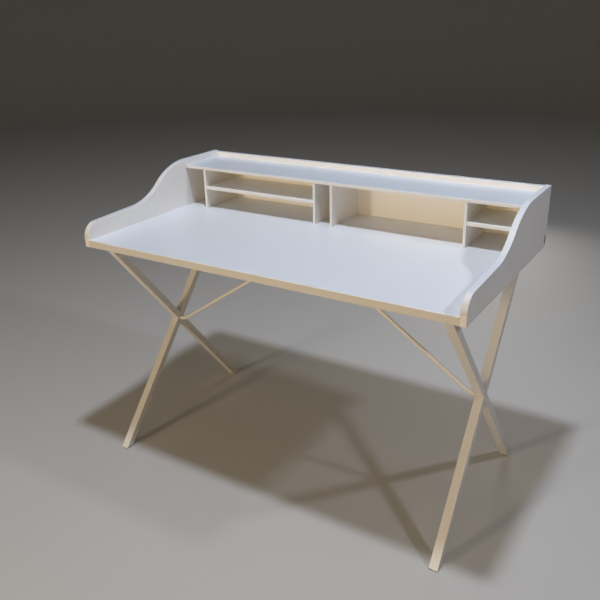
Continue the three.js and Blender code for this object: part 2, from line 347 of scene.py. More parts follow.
@dataclass(frozen=True)
class Finish:
    """Common part of every finish."""

    name: str

    def material(self) -> bpy.types.Material:
        """Makes or finds this finish's material.

        Returns:
            The material.
        """
        known = bpy.data.materials.get(self.name)
        if known is not None:
            return known
        made = bpy.data.materials.new(self.name)
        self.fill(Graph(made))
        return made

    def fill(self, graph: Graph) -> None:
        """Writes the node tree.

        Args:
            graph: The empty tree.
        """
        raise NotImplementedError


@dataclass(frozen=True)
class BoardLacquer(Finish):
    """Sprayed satin lacquer on board: orange peel, slow tone shift, rubs and specks."""

    colour: Colour
    warm: Colour
    roughness: float = 0.36
    peel: float = 0.10
    rub_scale: float = 6.0
    gloss: float = 0.5

    def fill(self, graph: Graph) -> None:
        """Writes the lacquer's nodes.

        Args:
            graph: The empty tree.
        """
        spot = graph.place()
        slow = graph.noise(spot, 2.3, 3.0, 0.55)
        mottle = graph.noise(spot, 34.0, 4.0, 0.6)
        fine = graph.noise(spot, 900.0, 2.0)
        rolled = graph.noise(spot, 140.0, 2.0)
        streak = graph.noise(graph.place((2.0, 46.0, 46.0)), 3.0, 3.0)
        specks = graph.spots(spot, 26.0, 0.020, 0.30)
        rubs = graph.noise(spot, self.rub_scale, 6.0, 0.62)
        drift = graph.remap(slow * 0.7 + mottle * 0.3, (0.35, 0.65), (0.0, 1.0))
        tone = graph.mix(drift * 0.30, self.colour, self.warm)
        tone = graph.mix(specks * 0.35, tone, tinted(self.warm, 0.55))
        dull = graph.remap(rubs, (0.42, 0.68), (0.0, 1.0))
        rough = dull * 0.09 + streak * 0.05 + specks * 0.2 + (self.roughness - 0.06)
        normal = graph.relief(
            (
                (rolled, self.peel, 0.00030),
                (fine, self.peel * 0.8, 0.00008),
                (specks, 0.25, 0.00012),
            )
        )
        graph.surface(
            {
                "Base Color": tone,
                "Roughness": rough,
                "Normal": normal,
                "Specular IOR Level": self.gloss,
                "Coat Weight": 0.12,
                "Coat Roughness": 0.22,
            }
        )


@dataclass(frozen=True)
class LegLacquer(Finish):
    """Lacquer over solid wood, with the grain just telegraphing along the leg."""

    colour: Colour
    warm: Colour
    grain_turn: float
    roughness: float = 0.42

    def fill(self, graph: Graph) -> None:
        """Writes the painted wood's nodes.

        Args:
            graph: The empty tree.
        """
        spot = graph.place()
        turn = (self.grain_turn, 0.0, 0.0)
        along = graph.place((90.0, 90.0, 3.2), turn)
        pores = graph.place((420.0, 420.0, 14.0), turn)
        bands = graph.noise(along, 1.0, 4.0, 0.6)
        pits = graph.remap(graph.noise(pores, 1.0, 3.0, 0.55), (0.58, 0.72), (0.0, 1.0))
        slow = graph.noise(spot, 5.0, 3.0)
        nicks = graph.spots(spot, 38.0, 0.035, 0.22)
        shade = graph.remap(bands * 0.6 + slow * 0.4, (0.36, 0.64), (0.0, 1.0))
        tone = graph.mix(shade * 0.45, self.colour, self.warm)
        tone = graph.mix(pits * 0.10, tone, tinted(self.warm, 0.72))
        tone = graph.mix(nicks * 0.30, tone, tinted(self.warm, 0.5))
        rough = bands * 0.10 + pits * 0.12 + (self.roughness - 0.06)
        normal = graph.relief(
            (
                (bands, 0.16, 0.00025),
                (1.0 - pits, 0.20, 0.00010),
                (1.0 - nicks, 0.30, 0.00020),
            )
        )
        graph.surface(
            {
                "Base Color": tone,
                "Roughness": rough,
                "Normal": normal,
                "Coat Weight": 0.08,
                "Coat Roughness": 0.28,
            }
        )


@dataclass(frozen=True)
class RodPaint(Finish):
    """Powder coat on a steel rod."""

    colour: Colour
    roughness: float = 0.38

    def fill(self, graph: Graph) -> None:
        """Writes the powder coat's nodes.

        Args:
            graph: The empty tree.
        """
        spot = graph.place()
        orange = graph.noise(spot, 520.0, 3.0, 0.6)
        slow = graph.noise(spot, 9.0, 3.0)
        chips = graph.spots(spot, 60.0, 0.05, 0.12)
        tone = graph.mix(slow * 0.35, self.colour, tinted(self.colour, 0.93))
        tone = graph.mix(chips * 0.5, tone, tinted(self.colour, 0.45))
        rough = orange * 0.10 + slow * 0.06 + chips * 0.15 + (self.roughness - 0.08)
        normal = graph.relief(((orange, 0.22, 0.00012), (1.0 - chips, 0.3, 0.0001)))
        graph.surface({"Base Color": tone, "Roughness": rough, "Normal": normal})


@dataclass(frozen=True)
class BareBeech(Finish):
    """Unfinished beech of the dowels, with short dark flecks along the grain."""

    colour: Colour
    dark: Colour

    def fill(self, graph: Graph) -> None:
        """Writes the wood's nodes.

        Args:
            graph: The empty tree.
        """
        grain = graph.noise(graph.place((900.0, 900.0, 900.0)), 0.35, 4.0, 0.6)
        fleck = graph.noise(graph.place((300.0, 1500.0, 1500.0)), 1.0, 2.0)
        dark = graph.remap(fleck, (0.56, 0.70), (0.0, 1.0))
        tone = graph.mix(grain * 0.6 + dark * 0.3, self.colour, self.dark)
        rough = grain * 0.15 + 0.62
        normal = graph.relief(((fleck, 0.25, 0.00010),))
        graph.surface({"Base Color": tone, "Roughness": rough, "Normal": normal})


@dataclass(frozen=True)
class ZincSteel(Finish):
    """Zinc-plated screw steel with a faint spangle and dulled patches."""

    colour: Colour
    warm: Colour

    def fill(self, graph: Graph) -> None:
        """Writes the plated steel's nodes.

        Args:
            graph: The empty tree.
        """
        spot = graph.place()
        spangle = graph.noise(spot, 1400.0, 3.0, 0.6)
        patch = graph.noise(spot, 260.0, 2.0)
        tone = graph.mix(patch * 0.5, self.colour, self.warm)
        rough = spangle * 0.16 + patch * 0.10 + 0.18
        normal = graph.relief(((spangle, 0.20, 0.00004),))
        graph.surface(
            {
                "Base Color": tone,
                "Metallic": 1.0,
                "Roughness": rough,
                "Normal": normal,
            }
        )


@dataclass(frozen=True)
class GlidePlastic(Finish):
    """Moulded pale plastic, scuffed underneath."""

    colour: Colour

    def fill(self, graph: Graph) -> None:
        """Writes the plastic's nodes.

        Args:
            graph: The empty tree.
        """
        spot = graph.place()
        grit = graph.noise(spot, 800.0, 3.0, 0.65)
        scuff = graph.noise(graph.place((1.0, 8.0, 1.0)), 120.0, 4.0, 0.7)
        worn = graph.remap(scuff, (0.50, 0.66), (0.0, 1.0))
        tone = graph.mix(worn * 0.5, self.colour, tinted(self.colour, 0.7))
        rough = worn * 0.15 + grit * 0.08 + 0.48
        normal = graph.relief(((grit, 0.2, 0.00006), (scuff, 0.2, 0.0001)))
        graph.surface({"Base Color": tone, "Roughness": rough, "Normal": normal})


@dataclass(frozen=True)
class SlotShadePaint(Finish):
    """Near-black painted shade inside a recess, given a fibre texture as if bare
    fibreboard.
    """

    colour: Colour
    dark: Colour

    def fill(self, graph: Graph) -> None:
        """Writes the painted recess shade's nodes.

        Args:
            graph: The empty tree.
        """
        fibres = graph.noise(graph.place((1.0, 1.0, 3.0)), 700.0, 4.0, 0.7)
        tone = graph.mix(fibres, self.colour, self.dark)
        rough = fibres * 0.1 + 0.82
        normal = graph.relief(((fibres, 0.5, 0.0002),))
        graph.surface({"Base Color": tone, "Roughness": rough, "Normal": normal})


@dataclass(frozen=True)
class FloorPaint(Finish):
    """Plain pale studio floor with a barely visible mottle."""

    colour: Colour

    def fill(self, graph: Graph) -> None:
        """Writes the floor's nodes.

        Args:
            graph: The empty tree.
        """
        spot = graph.place()
        cloud = graph.noise(spot, 1.6, 5.0, 0.55)
        grit = graph.noise(spot, 240.0, 2.0)
        tone = graph.mix(cloud * 0.5, self.colour, tinted(self.colour, 0.94))
        rough = cloud * 0.08 + 0.62
        normal = graph.relief(((grit, 0.08, 0.0003),))
        graph.surface({"Base Color": tone, "Roughness": rough, "Normal": normal})


# Painted shade: the legs' white lacquer is darker and a little warmer than the body's,
# standing in for the shadow under the worktop.
LEG_WHITE: Colour = (0.765, 0.745, 0.705)
LEG_WARM: Colour = (0.73, 0.70, 0.645)
LEG_LEAN = 0.6841


@dataclass(frozen=True)
class FinishSet:
    """The finishes of this desk. Top, hutch, edge, rim and shelf are the body's white
    lacquer with painted light and shade in their colour.
    """

    # Painted cool shade: the body's white lacquer made darker and bluer, for the worktop's
    # top, the back panel's top and the hutch's front edges.
    top: BoardLacquer = BoardLacquer(
        "top_lacquer_cool_white", (0.80, 0.81, 0.82), (0.785, 0.79, 0.79)
    )
    body: BoardLacquer = BoardLacquer(
        "body_lacquer_soft_white", (0.89, 0.87, 0.845), (0.87, 0.845, 0.805)
    )
    # Painted light: the same white lacquer made lighter for the hutch's inside faces,
    # standing in for light bounced into the cells.
    hutch: BoardLacquer = BoardLacquer(
        "white_lacquer_painted_light", (0.935, 0.925, 0.905), (0.915, 0.90, 0.87)
    )
    # Painted shade: the same white lacquer made darker for the worktop's front edge and
    # underside.
    edge: BoardLacquer = BoardLacquer(
        "edge_lacquer_cream", (0.725, 0.72, 0.685), (0.705, 0.695, 0.65)
    )
    # Painted shade: the same white lacquer made darker and bluer for the side panels'
    # edges, with its gloss turned down.
    rim: BoardLacquer = BoardLacquer(
        "rim_lacquer_cool_white",
        (0.72, 0.735, 0.745),
        (0.705, 0.715, 0.715),
        roughness=0.5,
        gloss=0.18,
    )
    # Painted cool shade: the same white lacquer made darker and bluer for the top shelf's
    # upper face.
    shelf: BoardLacquer = BoardLacquer(
        "shelf_lacquer_cool_white", (0.71, 0.735, 0.765), (0.695, 0.715, 0.735)
    )
    # Painted shade: a near-black tone for the inside of the side panels' slot, where only
    # shade falls.
    core: SlotShadePaint = SlotShadePaint(
        "slot_painted_shade", (0.055, 0.045, 0.036), (0.03, 0.024, 0.018)
    )
    leg_rear: LegLacquer = LegLacquer(
        "leg_lacquer_rear_foot", LEG_WHITE, LEG_WARM, LEG_LEAN
    )
    leg_front: LegLacquer = LegLacquer(
        "leg_lacquer_front_foot", LEG_WHITE, LEG_WARM, -LEG_LEAN
    )
    batten: LegLacquer = LegLacquer(
        "batten_lacquer", LEG_WHITE, LEG_WARM, math.pi / 2
    )
    rod: RodPaint = RodPaint("rod_powder_coat", (0.82, 0.80, 0.765))
    wood: BareBeech = BareBeech("dowel_beech", (0.62, 0.42, 0.24), (0.46, 0.28, 0.14))
    steel: ZincSteel = ZincSteel("screw_zinc", (0.60, 0.61, 0.62), (0.58, 0.54, 0.46))
    plastic: GlidePlastic = GlidePlastic("glide_plastic", (0.66, 0.65, 0.62))
    floor: FloorPaint = FloorPaint("studio_floor", (0.56, 0.54, 0.51))


FINISHES = FinishSet()


# Shaping


class Shape:
    """A closed body under construction."""

    def __init__(self) -> None:
        """Starts empty."""
        self.bm = bmesh.new()

    def block(self, low: Vector, high: Vector) -> "Shape":
        """Adds a square-edged block between two corners.

        Args:
            low: Lowest corner.
            high: Highest corner.

        Returns:
            This shape.
        """
        size = high - low
        stretch = Matrix.Diagonal((size.x, size.y, size.z, 1.0))
        return self.cube(Matrix.Translation((low + high) / 2.0) @ stretch)

    def cube(self, matrix: Matrix) -> "Shape":
        """Adds a unit cube carried by a matrix."""
        bmesh.ops.create_cube(self.bm, size=1.0, matrix=matrix)
        return self

    def ease(
        self,
        chosen: Callable[[bmesh.types.BMEdge], bool],
        radius: float,
        segments: int = 3,
    ) -> "Shape":
        """Rounds the chosen edges.

        Args:
            chosen: Test for each edge.
            radius: Width of the rounding in metres.
            segments: Steps across it.

        Returns:
            This shape.
        """
        edges = [edge for edge in self.bm.edges if chosen(edge)]
        bmesh.ops.bevel(
            self.bm,
            geom=edges,
            offset=radius,
            offset_type="OFFSET",
            affect="EDGES",
            segments=segments,
            profile=0.5,
            material=-1,
            clamp_overlap=True,
        )
        return self

    def lathe(
        self, profile: Sequence[tuple[float, float]], matrix: Matrix, steps: int = 32
    ) -> "Shape":
        """Spins a profile of (radius, height) points about Z.

        Args:
            profile: Points from the axis and back to it.
            matrix: Carries the turned body to its place.
            steps: Facets round the axis.

        Returns:
            This shape.
        """
        tip = self.bm.verts.new((profile[0][0], 0.0, profile[0][1]))
        chain: list[bmesh.types.BMVert | bmesh.types.BMEdge] = [tip]
        for radius, height in profile[1:]:
            made = bmesh.ops.extrude_vert_indiv(self.bm, verts=[tip])
            tip = made["verts"][0]
            goal = Vector((radius, 0.0, height))
            bmesh.ops.translate(self.bm, verts=[tip], vec=goal - tip.co)
            chain += [made["edges"][0], tip]
        old = set(self.bm.verts) - set(chain)
        bmesh.ops.spin(
            self.bm,
            geom=chain,
            cent=(0.0, 0.0, 0.0),
            axis=(0.0, 0.0, 1.0),
            dvec=(0.0, 0.0, 0.0),
            angle=2.0 * math.pi,
            steps=steps,
            use_merge=True,
            use_duplicate=False,
        )
        fresh = [vert for vert in self.bm.verts if vert not in old]
        bmesh.ops.remove_doubles(self.bm, verts=fresh, dist=1e-7)
        fresh = [vert for vert in self.bm.verts if vert not in old]
        bmesh.ops.transform(self.bm, verts=fresh, matrix=matrix)
        return self

    def sweep(self, radius: float, stations: "Iterable[Station]", sides: int) -> "Shape":
        """Draws a round bar through straights and bends.

        Args:
            radius: Bar radius.
            stations: The bar's straights and bends in order.
            sides: Facets round the bar.

        Returns:
            This shape.
        """
        path = list(stations)
        start = path[0].start
        heading = path[0].heading
        frame_turn = heading.to_track_quat("Z", "Y").to_matrix().to_4x4()
        made = bmesh.ops.create_circle(
            self.bm,
            cap_ends=True,
            segments=sides,
            radius=radius,
            matrix=Matrix.Translation(start) @ frame_turn,
        )
        face = made["verts"][0].link_faces[0]
        joints = []
        for station in path:
            face = station.draw(self.bm, face)
            joints.append(face)
        inner = [joint for joint in joints[:-1] if joint.is_valid]
        bmesh.ops.delete(self.bm, geom=inner, context="FACES_ONLY")
        return self

    def tidy(self) -> "Shape":
        """Merges doubles and turns every face outwards.

        Returns:
            This shape.
        """
        bmesh.ops.remove_doubles(self.bm, verts=self.bm.verts, dist=TOUCH)
        bmesh.ops.recalc_face_normals(self.bm, faces=self.bm.faces)
        return self

    def as_object(self, name: str) -> bpy.types.Object:
        """Writes the shape to a linked object and frees the bmesh.

        Args:
            name: Object name.

        Returns:
            The object, at the origin.
        """
        mesh = bpy.data.meshes.new(name)
        self.bm.to_mesh(mesh)
        self.bm.free()
        made = bpy.data.objects.new(name, mesh)
        bpy.context.scene.collection.objects.link(made)
        return made


@dataclass(frozen=True)
class Station:
    """One straight or bend of a round bar."""

    start: Vector
    heading: Vector
    length: float = 0.0
    centre: Vector | None = None
    axis: Vector = field(default_factory=lambda: Vector((0.0, 1.0, 0.0)))
    angle: float = 0.0
    steps: int = 16

    def draw(
        self, bm: bmesh.types.BMesh, face: bmesh.types.BMFace
    ) -> bmesh.types.BMFace:
        """Carries the end face along this stretch.

        Args:
            bm: The bmesh that holds the bar.
            face: The bar's end so far.

        Returns:
            The new end face.
        """
        if self.centre is None:
            made = bmesh.ops.extrude_face_region(bm, geom=[face])
            verts = [g for g in made["geom"] if isinstance(g, bmesh.types.BMVert)]
            bmesh.ops.translate(bm, verts=verts, vec=self.heading * self.length)
            return next(g for g in made["geom"] if isinstance(g, bmesh.types.BMFace))
        made = bmesh.ops.spin(
            bm,
            geom=[face],
            cent=self.centre,
            axis=self.axis,
            dvec=(0.0, 0.0, 0.0),
            angle=self.angle,
            steps=self.steps,
            use_merge=False,
            use_duplicate=False,
        )
        last = [g for g in made["geom_last"] if isinstance(g, bmesh.types.BMFace)]
        return last[0]


class Outline:
    """A flat outline at constant X, drawn with lines and arcs and then filled."""

    def __init__(self, x: float, y: float, z: float) -> None:
        """Starts the outline at a point.

        Args:
            x: The plane's X.
            y: First point's Y.
            z: First point's Z.
        """
        self.x = x
        self.shape = Shape()
        self.tip = self.shape.bm.verts.new((x, y, z))

    def line(self, y: float, z: float) -> "Outline":
        """Draws a straight line to a point.

        Args:
            y: The point's Y.
            z: The point's Z.

        Returns:
            This outline.
        """
        bm = self.shape.bm
        made = bmesh.ops.extrude_vert_indiv(bm, verts=[self.tip])
        self.tip = made["verts"][0]
        goal = Vector((self.x, y, z))
        bmesh.ops.translate(bm, verts=[self.tip], vec=goal - self.tip.co)
        return self

    def arc(self, y: float, z: float, angle: float, steps: int) -> "Outline":
        """Turns the tip about a centre.

        Args:
            y: The centre's Y.
            z: The centre's Z.
            angle: Turn about +X in radians.
            steps: Chords in the arc.

        Returns:
            This outline.
        """
        made = bmesh.ops.spin(
            self.shape.bm,
            geom=[self.tip],
            cent=(self.x, y, z),
            axis=(1.0, 0.0, 0.0),
            dvec=(0.0, 0.0, 0.0),
            angle=angle,
            steps=steps,
            use_merge=False,
            use_duplicate=False,
        )
        last = [g for g in made["geom_last"] if isinstance(g, bmesh.types.BMVert)]
        self.tip = last[0]
        return self

    def extruded(self, thickness: float) -> Shape:
        """Closes the outline, fills it and gives it thickness along X.

        Args:
            thickness: Distance along +X.

        Returns:
            The closed body.
        """
        bm = self.shape.bm
        bmesh.ops.remove_doubles(bm, verts=bm.verts, dist=TOUCH)
        ends = [vert for vert in bm.verts if len(vert.link_edges) == 1]
        if len(ends) == 2:
            bmesh.ops.contextual_create(bm, geom=ends)
        face = bmesh.ops.contextual_create(bm, geom=bm.edges[:])["faces"][0]
        made = bmesh.ops.extrude_face_region(bm, geom=[face])
        verts = [g for g in made["geom"] if isinstance(g, bmesh.types.BMVert)]
        bmesh.ops.translate(bm, verts=verts, vec=(thickness, 0.0, 0.0))
        return self.shape.tidy()


def carve(solid: bpy.types.Object, tools: Sequence[bpy.types.Object]) -> None:
    """Cuts tools out of a body and removes the tools.

    Args:
        solid: The body to cut.
        tools: Closed bodies to take away.
    """
    for number, tool in enumerate(tools):
        step = solid.modifiers.new(f"carve_{number}", "BOOLEAN")
        step.operation = "DIFFERENCE"
        step.solver = "EXACT"
        step.object = tool
    graph = bpy.context.evaluated_depsgraph_get()
    cut = bpy.data.meshes.new_from_object(solid.evaluated_get(graph))
    old = solid.data
    solid.modifiers.clear()
    solid.data = cut
    cut.name = solid.name
    bpy.data.meshes.remove(old)
    for tool in tools:
        mesh = tool.data
        bpy.data.objects.remove(tool)
        bpy.data.meshes.remove(mesh)
    close_seams(cut)


def close_seams(mesh: bpy.types.Mesh) -> None:
    """Closes hairline splits that a cut can leave along an edge.

    Args:
        mesh: The mesh to close.
    """
    bm = bmesh.new()
    bm.from_mesh(mesh)
    split = [edge for edge in bm.edges if edge.is_boundary]
    if split:
        bmesh.ops.holes_fill(bm, edges=split, sides=8)
        bm.to_mesh(mesh)
    bm.free()


def smooth(piece: bpy.types.Object) -> None:
    """Shades rounded edges smooth and keeps flats flat.

    Args:
        piece: The object to shade.
    """
    mesh = piece.data
    mesh.polygons.foreach_set("use_smooth", [True] * len(mesh.polygons))
    mesh.set_sharp_from_angle(angle=SHARP_ANGLE)
    weight = piece.modifiers.new("flat_faces_first", "WEIGHTED_NORMAL")
    weight.mode = "FACE_AREA"
    weight.weight = 100
    weight.keep_sharp = True


def keep_inside(piece: bpy.types.Object, node: str) -> None:
    """Takes off the rounding error that puts a point outside its node's box.

    Args:
        piece: The object.
        node: The frame's node whose box holds it.
    """
    low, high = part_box(node)
    for vertex in piece.data.vertices:
        for axis in range(3):
            value = vertex.co[axis]
            vertex.co[axis] = min(max(value, low[axis]), high[axis])


def install(
    piece: bpy.types.Object, node: str, finishes: Sequence[Finish]
) -> bpy.types.Object:
    """Dresses a finished piece and puts it in the frame in place of its node.

    Args:
        piece: The object.
        node: The frame's node that it stands for.
        finishes: Materials in the order of the mesh's material numbers.

    Returns:
        The same object.
    """
    for finish in finishes:
        piece.data.materials.append(finish.material())
    keep_inside(piece, node)
    smooth(piece)
    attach(piece, BODY)
    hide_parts(node)
    LOG.info("%s: %d faces", piece.name, len(piece.data.polygons))
    return piece


def runs_along(edge: bmesh.types.BMEdge, axis: Vector, loose: float = 0.02) -> bool:
    """Whether an edge lies along an axis.

    Args:
        edge: The edge.
        axis: Unit direction.
        loose: Allowed sine of the angle between them.

    Returns:
        True if it does.
    """
    span = edge.verts[1].co - edge.verts[0].co
    return span.length > 1e-9 and span.normalized().cross(axis).length < loose


def is_square(edge: bmesh.types.BMEdge) -> bool:
    """Whether an edge is still a square corner."""
    return len(edge.link_faces) == 2 and edge.calc_face_angle() > SQUARE_EDGE


X_AXIS = Vector((1.0, 0.0, 0.0))
Y_AXIS = Vector((0.0, 1.0, 0.0))
Z_AXIS = Vector((0.0, 0.0, 1.0))


# Fasteners


@dataclass(frozen=True)
class PanHeadScrew:
    """A pan-head screw with a cross recess, and the pocket it sits in."""

    head_radius: float = 3.8 * MM
    head_high: float = 2.2 * MM
    shank_radius: float = 2.0 * MM
    recess_long: float = 4.4 * MM
    recess_wide: float = 0.9 * MM
    recess_deep: float = 1.4 * MM
    gap: float = 0.3 * MM

    def placing(self, node: str, heading: Vector) -> tuple[Matrix, float]:
        """Where a screw stands and how long it is.

        Args:
            node: The frame's screw node.
            heading: Direction the screw is driven.

        Returns:
            The matrix that carries a screw standing on its head, and its length.
        """
        low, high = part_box(node)
        middle = (low + high) / 2.0
        length = abs((high - low).dot(heading))
        base = middle - heading * (length / 2.0)
        turn = heading.to_track_quat("Z", "Y").to_matrix().to_4x4()
        return Matrix.Translation(base) @ turn, length

    def pocket(self, node: str, heading: Vector) -> bpy.types.Object:
        """The cutter for one screw's hole.

        Args:
            node: The frame's screw node.
            heading: Direction the screw is driven.

        Returns:
            The cutter.
        """
        matrix, length = self.placing(node, heading)
        head = self.head_radius + self.gap
        shank = self.shank_radius + self.gap
        seat = self.head_high + self.gap
        profile = (
            (0.0, -1.0 * MM),
            (head, -1.0 * MM),
            (head, seat),
            (shank, seat),
            (shank, length),
            (0.0, length + self.gap),
        )
        shape = Shape().lathe(profile, matrix, 24).tidy()
        return shape.as_object(f"cut_{node}")

    def build(self, node: str, heading: Vector) -> bpy.types.Object:
        """Makes one screw.

        Args:
            node: The frame's screw node.
            heading: Direction the screw is driven.

        Returns:
            The installed screw.
        """
        matrix, length = self.placing(node, heading)
        head, high, shank = self.head_radius, self.head_high, self.shank_radius
        profile = (
            (0.0, 0.0),
            (head * 0.55, 0.06 * MM),
            (head * 0.82, 0.35 * MM),
            (head * 0.97, 0.95 * MM),
            (head, 1.5 * MM),
            (head, high - 0.1 * MM),
            (head - 0.1 * MM, high),
            (shank + 0.2 * MM, high),
            (shank, high + 0.3 * MM),
            (shank, length - 3.0 * MM),
            (shank * 0.5, length - 1.0 * MM),
            (0.0, length),
        )
        shape = Shape().lathe(profile, Matrix.Identity(4), 32).tidy()
        screw = shape.as_object(f"{node}_made")
        stretch = Matrix.Diagonal(
            (self.recess_long, self.recess_wide, 2.0 * self.recess_deep, 1.0)
        )
        bars = []
        for quarter in (0.0, math.pi / 2):
            bar = Shape().cube(Matrix.Rotation(quarter, 4, "Z") @ stretch)
            bars.append(bar.as_object("recess"))
        carve(screw, bars)
        screw.data.transform(matrix)
        return install(screw, node, (FINISHES.steel,))


SCREW = PanHeadScrew()


@dataclass(frozen=True)
class Peg:
    """The bore round a dowel node."""

    gap: float = 0.3 * MM

    def pocket(self, node: str) -> bpy.types.Object:
        """The cutter for one dowel's hole.

        Args:
            node: The frame's dowel node.

        Returns:
            The cutter.
        """
        low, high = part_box(node)
        size = high - low
        longest = max(range(3), key=lambda number: size[number])
        axis = (X_AXIS, Y_AXIS, Z_AXIS)[longest]
        radius = min(size) / 2.0 + self.gap
        half = size[longest] / 2.0 + self.gap
        turn = axis.to_track_quat("Z", "Y").to_matrix().to_4x4()
        matrix = Matrix.Translation((low + high) / 2.0) @ turn
        profile = ((0.0, -half), (radius, -half), (radius, half), (0.0, half))
        return Shape().lathe(profile, matrix, 24).tidy().as_object(f"cut_{node}")


PEG = Peg()


@dataclass(frozen=True)
class Fixings:
    """Every screw, bolt and dowel of the desk."""

    shelf_screws: tuple[str, ...] = ("shelf_screw_1", "shelf_screw_2", "shelf_screw_3")
    back_dowels: tuple[str, ...] = ("back_dowel_1", "back_dowel_2", "back_dowel_3")

    @staticmethod
    def end_dowels(side: Side) -> list[str]:
        """Dowels between the worktop's end and a side panel."""
        return [f"panel_dowel_{side.word}_{number}" for number in (1, 2, 3)]

    @staticmethod
    def rail_screws(side: Side) -> list[str]:
        """Screws through a batten."""
        return [f"rail_screw_{side.word}_{number}" for number in (1, 2)]

    @staticmethod
    def tab_screws(side: Side) -> list[str]:
        """Screws through a rod's tab."""
        return [f"brace_screw_{side.word}_{number}" for number in (1, 2)]

    @staticmethod
    def leg_dowels(side: Side) -> list[str]:
        """Dowels in the leg tops."""
        return [f"leg_dowel_{side.word}_front", f"leg_dowel_{side.word}_rear"]

    def build(self) -> None:
        """Makes the screws and dresses the dowels."""
        for name in self.shelf_screws:
            SCREW.build(name, -Y_AXIS)
        dowels = list(self.back_dowels)
        for side in Side:
            for name in self.rail_screws(side) + self.tab_screws(side):
                SCREW.build(name, Z_AXIS)
            SCREW.build(f"back_bolt_{side.word}", X_AXIS * -side.value)
            dowels += self.end_dowels(side) + self.leg_dowels(side)
        for name in dowels:
            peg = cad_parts[name]
            if not peg.material_slots:
                peg.data.materials.append(None)
            peg.material_slots[0].material = FINISHES.wood.material()
            LOG.info("%s: dressed", name)


FIXINGS = Fixings()


# Boards


@dataclass(frozen=True)
class Worktop:
    """The writing surface: a board with a softly rounded front edge."""

    front_round: float = 2.2 * MM
    arris: float = 0.4 * MM

    def build(self) -> bpy.types.Object:
        """Makes the worktop.

        Returns:
            The installed board.
        """
        low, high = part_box("worktop")
        shape = Shape().block(low, high)

        def at_front(edge: bmesh.types.BMEdge) -> bool:
            """Long edges of the front face."""
            return runs_along(edge, X_AXIS) and edge.verts[0].co.y < low.y + TOUCH

        shape.ease(at_front, self.front_round, 5)
        shape.ease(is_square, self.arris, 2)
        board = shape.as_object("worktop_board")
        carve(board, self._pockets())
        # The upper face takes the painted cool shade tone, every other face the darker
        # painted edge shade.
        for face in board.data.polygons:
            face.material_index = int(face.center.z <= high.z - UPPER_SKIN)
        return install(board, "worktop", (FINISHES.top, FINISHES.edge))

    @staticmethod
    def _pockets() -> list[bpy.types.Object]:
        """Makes the cutters for everything fixed into the worktop.

        Returns:
            The cutters.
        """
        tools = [PEG.pocket(name) for name in FIXINGS.back_dowels]
        for side in Side:
            names = FIXINGS.end_dowels(side) + FIXINGS.leg_dowels(side)
            tools += [PEG.pocket(name) for name in names]
            screws = FIXINGS.rail_screws(side) + FIXINGS.tab_screws(side)
            tools += [SCREW.pocket(name, Z_AXIS) for name in screws]
        return tools


